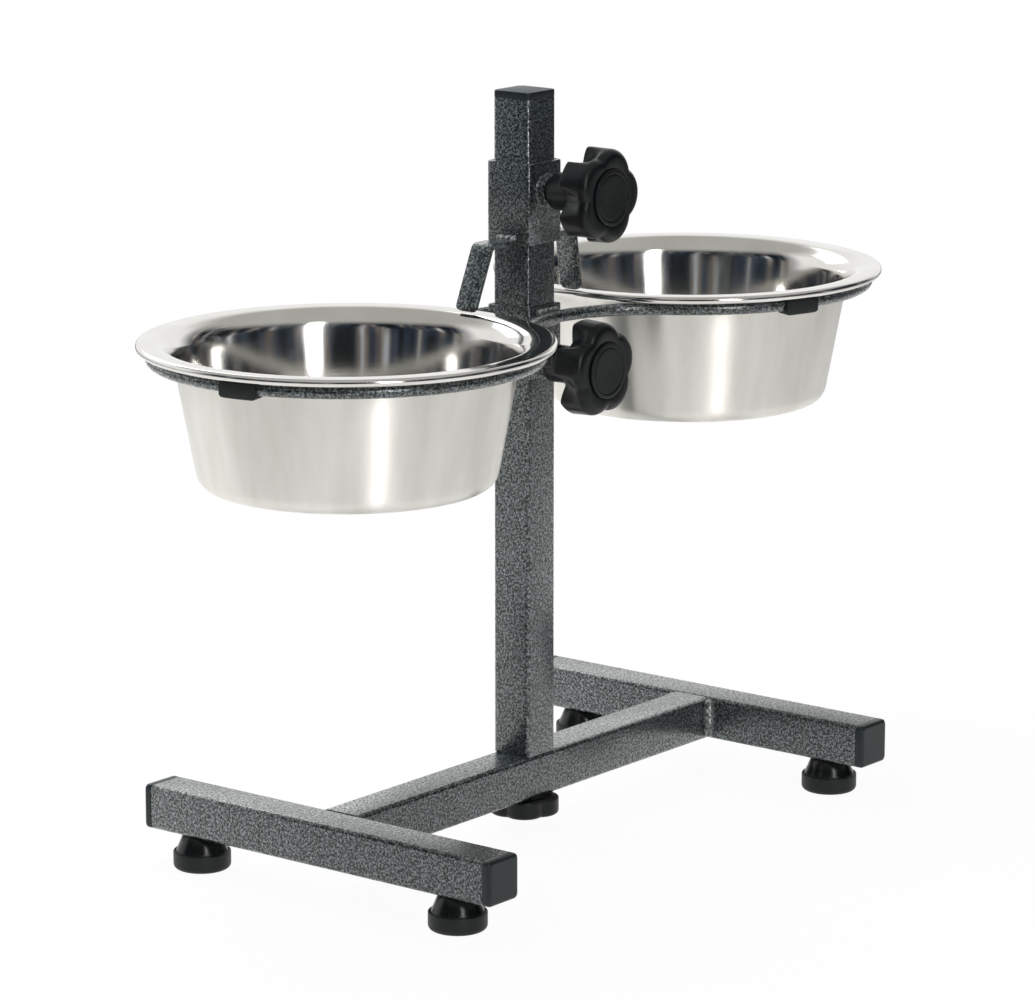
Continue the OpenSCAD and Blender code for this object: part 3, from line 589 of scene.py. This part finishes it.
low, high = (np.array(corner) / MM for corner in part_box("bowl_left"))
BOWL_OFFSET = -(low[0] + high[0]) / 2
ROD_RADIUS = 3.5
RING_RADIUS = 104.0
SLEEVE_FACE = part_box("carrier_sleeve")[1][1] / MM
ROD_HEIGHT = (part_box("bowl_ring")[0][2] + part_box("bowl_ring")[1][2]) / 2 / MM
waist_gap = SLEEVE_FACE + ROD_RADIUS
waist_radius = (BOWL_OFFSET ** 2 + waist_gap ** 2 - RING_RADIUS ** 2) / (2 * (RING_RADIUS - waist_gap))
waist_middle = waist_radius + waist_gap
lean = degrees(atan2(waist_middle, BOWL_OFFSET))


def bend(center, radius, start, end, side, steps):
    """Points and sideways directions on one arc of the rod; side -1 turns the direction inward."""
    turn = np.radians(np.linspace(start, end, steps, endpoint=False))
    out = np.column_stack([np.cos(turn), np.sin(turn)])
    return np.column_stack([np.asarray(center) + radius * out, side * out])


rod_line = np.concatenate([
    bend((BOWL_OFFSET, 0), RING_RADIUS, lean - 180, 180 - lean, 1, 180),
    bend((0, waist_middle), waist_radius, -lean, lean - 180, -1, 60),
    bend((-BOWL_OFFSET, 0), RING_RADIUS, lean, 360 - lean, 1, 180),
    bend((0, -waist_middle), waist_radius, 180 - lean, lean, -1, 60)])
turn = np.linspace(0, 2 * pi, 20, endpoint=False)
rings = np.stack([
    rod_line[:, None, 0] + ROD_RADIUS * np.cos(turn) * rod_line[:, None, 2],
    rod_line[:, None, 1] + ROD_RADIUS * np.cos(turn) * rod_line[:, None, 3],
    np.broadcast_to(ROD_HEIGHT + ROD_RADIUS * np.sin(turn), (len(rod_line), len(turn)))], -1)
rod = skin("bowl_ring_rod", rings * MM, hoop=True)
dress(rod, "carrier", "hammertone_paint", hammertone, "bowl_ring")

ROD_BEAD_RADIUS = 2.1
ROD_BEAD_LENGTH = 18.0
ROD_BEAD_SEED = 10
beads = []
for count, (face, level) in enumerate([(-1, -1), (-1, 1), (1, -1), (1, 1)]):
    y = face * (SLEEVE_FACE + 0.7)
    z = ROD_HEIGHT + level * (ROD_RADIUS - 0.1)
    rings = bead((-ROD_BEAD_LENGTH / 2, y, z), (ROD_BEAD_LENGTH / 2, y, z), ROD_BEAD_RADIUS, BEAD_PITCH,
                 ROD_BEAD_SEED + count)
    beads.append(skin("ring_weld", rings * MM, lids=(True, True)))
dress(join("ring_welds", beads), "carrier", "hammertone_paint", weld_finish_with_painted_glint, "ring_weld_beads")


# Ring pads: black rubber clips snapped over the rod, on which the bowl's rim rests. The top
# narrows to go inside the rolled edge, and the inner side slopes along the bowl.

pad_rubber, at, link = new_finish("pad_rubber", Specular_IOR_Level=0.35)
grain = at["object"].noise(1400.0, 4.0)
link(Base_Color=grain.remap(0.3, 0.7).blend((0.014, 0.017, 0.017), (0.024, 0.028, 0.028)),
     Roughness=0.5 + grain * 0.2,
     Normal=grain.bump(0.15, 0.0003))

PAD_ANGLE = 11.5
PAD_TURNS = {"left": (-1, 188.8), "right": (1, 13.2)}
PAD_TOP = 7.2
PAD_BOTTOM = 5.6
PAD_IN = 6.0
PAD_OUT = 5.3
PAD_SEAT_IN = 0.4
PAD_SEAT_OUT = 3.5
PAD_CORNER = 2.2
pad_section = np.array([
    (-PAD_IN, -PAD_BOTTOM + 1.5), (-PAD_IN + 0.5, -PAD_BOTTOM + 0.5), (-PAD_IN + 1.5, -PAD_BOTTOM),
    (PAD_OUT - 1.5, -PAD_BOTTOM), (PAD_OUT - 0.45, -PAD_BOTTOM + 0.45), (PAD_OUT, -PAD_BOTTOM + 1.5),
    (PAD_OUT, 2.2), (PAD_OUT - 0.4, 2.9), (PAD_SEAT_OUT + 0.15, 4.6), (PAD_SEAT_OUT, 5.2),
    (PAD_SEAT_OUT, PAD_TOP - 0.3), (PAD_SEAT_OUT - 0.3, PAD_TOP), (PAD_SEAT_IN, PAD_TOP),
    (-PAD_IN, ROD_RADIUS)])
half_length = RING_RADIUS * radians(PAD_ANGLE / 2)
from_end = np.concatenate([PAD_CORNER * (1 - np.cos(np.linspace(0, pi / 2, 9))),
                           np.linspace(3.5, half_length, 5)])
ends = np.concatenate([from_end / half_length - 1, 1 - from_end[-2::-1] / half_length])
from_end = np.concatenate([from_end, from_end[-2::-1]])
lift = PAD_CORNER - np.sqrt(np.maximum(PAD_CORNER ** 2 - np.maximum(PAD_CORNER - from_end, 0) ** 2, 0))
for name, (side, first) in PAD_TURNS.items():
    clips = []
    for place in (first, first + 120, first + 240):
        turn = np.radians(place + ends * PAD_ANGLE / 2)
        shrink = np.where(from_end < 0.02, 0.97, 1.0)
        reach = RING_RADIUS + pad_section[:, 0] * shrink[:, None]
        level = np.maximum(pad_section[:, 1], lift[:, None] - PAD_BOTTOM) * shrink[:, None]
        rings = np.stack([side * BOWL_OFFSET + reach * np.cos(turn)[:, None],
                          reach * np.sin(turn)[:, None], ROD_HEIGHT + level], -1)
        clips.append(skin("pad", rings * MM, lids=(True, True)))
    dress(join("ring_clips_" + name, clips), "carrier", "pad_rubber", pad_rubber, "ring_pads_" + name)


# Hold-down hooks: flat steel strip welded on both sides of the upper sleeve, bent down at the
# end so that the tips stand over the bowls' rims. The left one is bent further out.

HOOK_WIDTH = 14.0
HOOK_THICK = 3.0
HOOK_REACH = 34.5
HOOK_BEND = 5.0
HOOK_TIP = 3.5
HOOK_LEANS = {"left": (-1, 24.0), "right": (1, 9.0)}
HOOK_TIP_GAP = 0.35
HOOK_EASE = 0.7
HOOK_BEAD_RADIUS = 2.0
HOOK_BEAD_SEED = 20
HOOK_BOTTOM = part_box("retainer_sleeve")[0][2] / MM
BOWL_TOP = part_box("bowl_left")[1][2] / MM
strip_section = np.concatenate([
    arc((s * (HOOK_WIDTH / 2 - HOOK_EASE), t * (HOOK_THICK / 2 - HOOK_EASE)), HOOK_EASE, a, a + 90, 4)
    for s, t, a in ((1, 1, 0), (-1, 1, 90), (-1, -1, 180), (1, -1, 270))])
beads = []
for count, (name, (side, tilt)) in enumerate(HOOK_LEANS.items()):
    middle = HOOK_BEND - HOOK_THICK / 2
    hub = (HOOK_REACH, HOOK_BOTTOM + HOOK_THICK - HOOK_BEND)
    drop = hub[1] + (HOOK_BEND - HOOK_THICK) * sin(radians(tilt)) - BOWL_TOP - HOOK_TIP_GAP
    leg = drop / cos(radians(tilt))
    flat = np.column_stack([np.linspace(SLEEVE_FACE, HOOK_REACH, 12, endpoint=False),
                            np.full(12, hub[1] + middle)])
    knee = arc(hub, middle, 90, tilt, 12)
    down = np.array([sin(radians(tilt)), -cos(radians(tilt))])
    run = np.concatenate([np.linspace(0.5, leg - HOOK_TIP, 16),
                          leg - HOOK_TIP * np.cos(np.linspace(0, pi / 2, 12))[1:]])
    line = np.concatenate([flat, knee, knee[-1] + run[:, None] * down])
    ahead = np.gradient(line, axis=0)
    ahead /= np.linalg.norm(ahead, axis=1)[:, None]
    over = np.column_stack([-ahead[:, 1], ahead[:, 0]])
    left_over = np.concatenate([np.full(len(flat) + len(knee), HOOK_TIP),
                                np.minimum(leg - run, HOOK_TIP)])
    cut = HOOK_TIP - np.sqrt(np.maximum(HOOK_TIP ** 2 - (HOOK_TIP - left_over) ** 2, 0))
    wide = (HOOK_WIDTH - 2 * cut) / HOOK_WIDTH
    thick = np.where(left_over < 0.3, 0.75, 1.0)[:, None] * strip_section[:, 1]
    rings = np.stack([side * (line[:, None, 0] + thick * over[:, None, 0]),
                      wide[:, None] * strip_section[:, 0],
                      line[:, None, 1] + thick * over[:, None, 1]], -1)
    dress(skin("hook_strip_" + name, rings * MM, lids=(True, True)), "retainer", "hammertone_paint",
          hammertone, "hook_" + name)
    x = side * (SLEEVE_FACE + 0.4)
    z = HOOK_BOTTOM + HOOK_THICK + 0.3
    rings = bead((x, -HOOK_WIDTH / 2, z), (x, HOOK_WIDTH / 2, z), HOOK_BEAD_RADIUS, BEAD_PITCH,
                 HOOK_BEAD_SEED + count)
    beads.append(skin("hook_weld", rings * MM, lids=(True, True)))
dress(join("hook_welds", beads), "retainer", "hammertone_paint", weld_finish_with_painted_glint, "hook_weld_beads")


# Bowls: deep drawn stainless sheet with a flared flat rim and a rolled edge. The inside and the
# rim are polished, the outside is left satin with fine lines from spinning; its upright light and
# dark streaks are painted reflections of the room, put into the colour of the outside.

BOWL_RIM = 112.5
BOWL_HEIGHT = 79.0
SHEET = 0.8
ROLL = 2.1
FLAT = 6.0
FLARE = 13.0
SLOPE = 10.5
FLOOR_RADIUS = 9.0
roll_middle = BOWL_RIM - ROLL
flare_middle = roll_middle - FLAT
slope = radians(SLOPE)
wall_top = (flare_middle - FLARE * cos(slope), -FLARE + FLARE * sin(slope))
floor_middle_z = -BOWL_HEIGHT + SHEET + FLOOR_RADIUS
wall_foot_z = floor_middle_z - FLOOR_RADIUS * sin(slope)
wall_foot_r = wall_top[0] - (wall_top[1] - wall_foot_z) * sin(slope) / cos(slope)
floor_middle_r = wall_foot_r - FLOOR_RADIUS * cos(slope)


def bowl_side(inset):
    """Profile from the floor's middle to the rim; inset 0 is the inner face, SHEET the outer one."""
    flat = np.linspace(2.0, floor_middle_r, 10, endpoint=False)
    corner = arc((floor_middle_r, floor_middle_z), FLOOR_RADIUS + inset, -90, -SLOPE, 12)
    flare = arc((flare_middle, -FLARE), FLARE - inset, 180 - SLOPE, 90, 16)
    wall = corner[-1] + np.linspace(0, 1, 14)[1:-1, None] * (flare[0] - corner[-1])
    rim = np.linspace(flare_middle, roll_middle, 5)[1:-1]
    bottom = np.column_stack([flat, np.full(10, -BOWL_HEIGHT + SHEET - inset)])
    return np.concatenate([bottom, corner, wall, flare, np.column_stack([rim, np.full(3, -inset)])])


inner = bowl_side(0.0)
outer = bowl_side(SHEET)[::-1]
curl = arc((roll_middle, -ROLL), ROLL, 90, -170, 22)
hidden = arc((roll_middle, -ROLL), ROLL - SHEET, -170, 90, 14)
bowl_profile = np.concatenate([inner, curl, hidden, outer])
bowl_steps = np.linalg.norm(np.diff(bowl_profile, axis=0), axis=1)
bowl_run = np.concatenate([[0], np.cumsum(bowl_steps)]) * MM
BOWL_STEPS = 288

polished, at, link = new_finish("polished_stainless", Metallic=1.0)
spin = at["uv"].add("ShaderNodeMapping", None, {"Vector": at["uv"], "Scale": (6.0, 1600.0, 1.0)})
lines = spin.noise(1.0, 3.0)
smudge_and_painted_band = at["object"].noise(26.0, 4.0)
link(Base_Color=smudge_and_painted_band.remap(0.3, 0.7).blend((0.70, 0.685, 0.65), (0.80, 0.79, 0.76)),
     Roughness=0.07 + smudge_and_painted_band.remap(0.4, 0.75) * 0.06 + lines * 0.04,
     Normal=lines.bump(0.03, 0.0002))

satin, at, link = new_finish("satin_stainless", Metallic=1.0, Anisotropic=0.95,
                             Anisotropic_Rotation=0.25)
spin = at["uv"].add("ShaderNodeMapping", None, {"Vector": at["uv"], "Scale": (9.0, 2600.0, 1.0)})
lines = spin.noise(1.0, 4.0)
# Upright light and dark bands in the base colour: painted reflections of the room on the satin.
drawn = at["object"].add("ShaderNodeMapping", None,
                         {"Vector": at["object"], "Scale": (52.0, 52.0, 5.0)})
smudge_and_painted_band = drawn.noise(1.0, 3.0)
link(Base_Color=smudge_and_painted_band.remap(0.32, 0.68).blend((0.80, 0.78, 0.72), (0.965, 0.945, 0.89)),
     Roughness=0.28 + lines * 0.10 + smudge_and_painted_band * 0.05,
     Normal=lines.bump(0.08, 0.0003))

for name in ("bowl_left", "bowl_right"):
    low, high = (np.array(corner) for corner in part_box(name))
    seat = (low + high) / 2
    seat[2] = high[2]
    piece = skin(name + "_sheet", stand(turned(bowl_profile, BOWL_STEPS), seat, "z"), lids=(True, True),
                 along=bowl_run, around=np.linspace(0, 1, BOWL_STEPS + 1), sharp=60)
    dress(piece, name, "stainless_steel", polished, name)
    piece.data.materials.append(satin)
    ring_of_face = np.concatenate([np.repeat(np.arange(len(bowl_profile) - 1), BOWL_STEPS),
                                   np.zeros(BOWL_STEPS, int), np.full(BOWL_STEPS, len(bowl_profile))])
    outside = ring_of_face >= len(inner) + len(curl)
    piece.data.polygons.foreach_set("material_index", outside.astype(np.int32))


# Studio: a white floor that keeps a soft shadow, a white sweep behind, a dim room on the camera's
# side that only shows in reflections, one big soft box overhead and a slim one in front.

bpy.context.scene.view_settings.view_transform = "Standard"
WHITE = (1, 1, 1, 1)
CAMERA_SIDE = (-0.785, -0.62)
FLOOR_GLOW_NEAR = 0.96
SWEEP_NEAR = 0.35
SWEEP_FAR = 0.9
SHEET_MIDDLE = (-0.45, -0.35, 0.0)
SHEET_GLOW = 0.8
SHEET_NEAR = 0.9
SHEET_FAR = 1.6

floor_mesh = bpy.data.meshes.new("floor")
floor_mesh.from_pydata([(-8, -8, 0), (8, -8, 0), (8, 8, 0), (-8, 8, 0)], [], [(0, 1, 2, 3)])
floor = bpy.data.objects.new("floor", floor_mesh)
bpy.context.scene.collection.objects.link(floor)
paper, at, link = new_finish("white_paper", Roughness=0.9, Specular_IOR_Level=0.1)
fibre = at["object"].noise(900.0, 2.0)
link(Base_Color=fibre.blend((0.88, 0.88, 0.88), (0.9, 0.9, 0.9)))
sight = at["object"].add("ShaderNodeLightPath")
glossy = Socket(sight.tree, sight.out.node.outputs["Is Glossy Ray"])
clear = Socket(sight.tree, sight.out.node.outputs["Is Transmission Ray"])
far = sight.add("ShaderNodeVectorMath", {"operation": "LENGTH"}, {0: at["object"]}, take=1)
seen = sight * (FLOOR_GLOW_NEAR + far.remap(SWEEP_NEAR, SWEEP_FAR) * (1 - FLOOR_GLOW_NEAR))
off_sheet = sight.add("ShaderNodeVectorMath", {"operation": "DISTANCE"},
                      {0: at["object"], 1: SHEET_MIDDLE}, take=1)
reflected = (glossy + clear) * SHEET_GLOW * (1 - off_sheet.remap(SHEET_NEAR, SHEET_FAR))
glow = sight.add("ShaderNodeEmission", None, {"Color": WHITE, "Strength": 1.0})
shader = Socket(sight.tree, sight.tree.nodes["Principled BSDF"].outputs[0])
shown = sight.add("ShaderNodeMixShader", None, {0: seen + reflected, 1: shader, 2: glow})
sight.tree.links.new(shown.out, sight.tree.nodes["Material Output"].inputs["Surface"])
floor_mesh.materials.append(paper)

ROOM_STOPS = ((0.44, (0.012, 0.014, 0.017)), (0.54, (0.045, 0.065, 0.095)),
              (0.60, (0.15, 0.115, 0.085)), (0.66, (0.42, 0.46, 0.50)), (0.74, (0.95, 0.95, 0.94)))
ROOM_LEFT = (-1.7, -1.4)
ROOM_RIGHT = (2.25, 2.6)
PATCH_ACROSS = 3.4
PATCH_UP = 1.1
CEILING_RISE = (0.48, 0.72)
CEILING_TONE = (0.50, 0.495, 0.475, 1)
SLIM_BEARING = 0.43
SLIM_EDGE = (0.06, 0.11)
SLIM_FOOT = (0.0, 0.05)
SLIM_HEAD = (0.6, 0.7)
SLIM_BOOST = 7.0
AMBIENT = 0.2
world = bpy.data.worlds.new("studio")
bpy.context.scene.world = world
world.use_nodes = True
backdrop = world.node_tree.nodes["Background"]
place = Socket(world.node_tree, world.node_tree.nodes.new("ShaderNodeTexCoord").outputs["Generated"])
across = place.add("ShaderNodeSeparateXYZ", None, {0: place})
east, north, rise = (Socket(place.tree, across.out.node.outputs[k]) for k in range(3))
toward = east * CAMERA_SIDE[0] + north * CAMERA_SIDE[1]
aside = north * CAMERA_SIDE[0] - east * CAMERA_SIDE[1]
bearing = place.math("ARCTAN2", aside, toward)
wall = place.add("ShaderNodeCombineXYZ", None, {0: bearing * PATCH_ACROSS, 1: rise * PATCH_UP})
panel = wall.noise(1.6, 2.0)
room = place.add("ShaderNodeValToRGB", {"stops": ROOM_STOPS}, {0: panel})
sight = place.add("ShaderNodeLightPath")
glossy = Socket(sight.tree, sight.out.node.outputs["Is Glossy Ray"])
clear = Socket(sight.tree, sight.out.node.outputs["Is Transmission Ray"])
dim = (glossy + clear) * bearing.remap(*ROOM_LEFT) * (1 - bearing.remap(*ROOM_RIGHT))
off_slim = place.math("ABSOLUTE", bearing - SLIM_BEARING, 0.0)
slim = glossy * (1 - off_slim.remap(*SLIM_EDGE)) * rise.remap(*SLIM_FOOT) * (1 - rise.remap(*SLIM_HEAD))
tone = WHITE
for factor, layer in ((dim, room), (glossy * rise.remap(*CEILING_RISE), CEILING_TONE), (slim, WHITE)):
    tone = place.add("ShaderNodeMix", {"data_type": "RGBA"},
                     {"Factor": factor, "A": tone, "B": layer}, take=2)
world.node_tree.links.new(tone.out, backdrop.inputs["Color"])
strength = AMBIENT + (sight + glossy + clear) * (1 - AMBIENT) + slim * SLIM_BOOST
world.node_tree.links.new(strength.out, backdrop.inputs["Strength"])


def soft_lamp(name, spot, aim, size, power, mirrored=True):
    """Soft box at spot that faces the point aim; mirrored says if shiny pieces reflect it."""
    lamp = bpy.data.lights.new(name, "AREA")
    lamp.shape = "RECTANGLE"
    lamp.size, lamp.size_y = size
    lamp.energy = power
    lit = bpy.data.objects.new(name, lamp)
    lit.location = spot
    away = np.subtract(spot, aim)
    flat = hypot(away[0], away[1])
    lit.rotation_euler = (atan2(flat, away[2]), 0, atan2(away[0], -away[1]))
    lit.visible_glossy = mirrored
    bpy.context.scene.collection.objects.link(lit)


soft_lamp("overhead_lamp", (-0.1, 0.45, 1.75), (0, 0, 0.2), (1.4, 1.4), 36, False)
soft_lamp("slim_lamp", (-0.95, -1.87, 0.85), (0, 0, 0.25), (0.22, 1.3), 1.5)
soft_lamp("back_lamp", (0.8, 1.9, 1.4), (0, 0, 0.3), (1.4, 0.8), 6)

FOCAL_PIXELS = 4861.88
PICTURE_WIDTH = 1035.0
PICTURE_HEIGHT = 1000.0
AXIS_PIXEL = (521.67, 506.85)
CAMERA_PLACE = (-2.09179, -1.64875, 0.78122)
CAMERA_DOWN = 12.583
CAMERA_TURN = -51.7221
lens = bpy.data.cameras.new("camera")
lens.sensor_width = 36.0
lens.lens = FOCAL_PIXELS * lens.sensor_width / PICTURE_WIDTH
lens.shift_x = (PICTURE_WIDTH / 2 - AXIS_PIXEL[0]) / PICTURE_WIDTH
lens.shift_y = (AXIS_PIXEL[1] - PICTURE_HEIGHT / 2) / PICTURE_WIDTH
lens.clip_end = 50.0
camera = bpy.data.objects.new("camera", lens)
camera.location = CAMERA_PLACE
camera.rotation_euler = (radians(90 - CAMERA_DOWN), 0, radians(CAMERA_TURN))
bpy.context.scene.collection.objects.link(camera)
bpy.context.scene.camera = camera
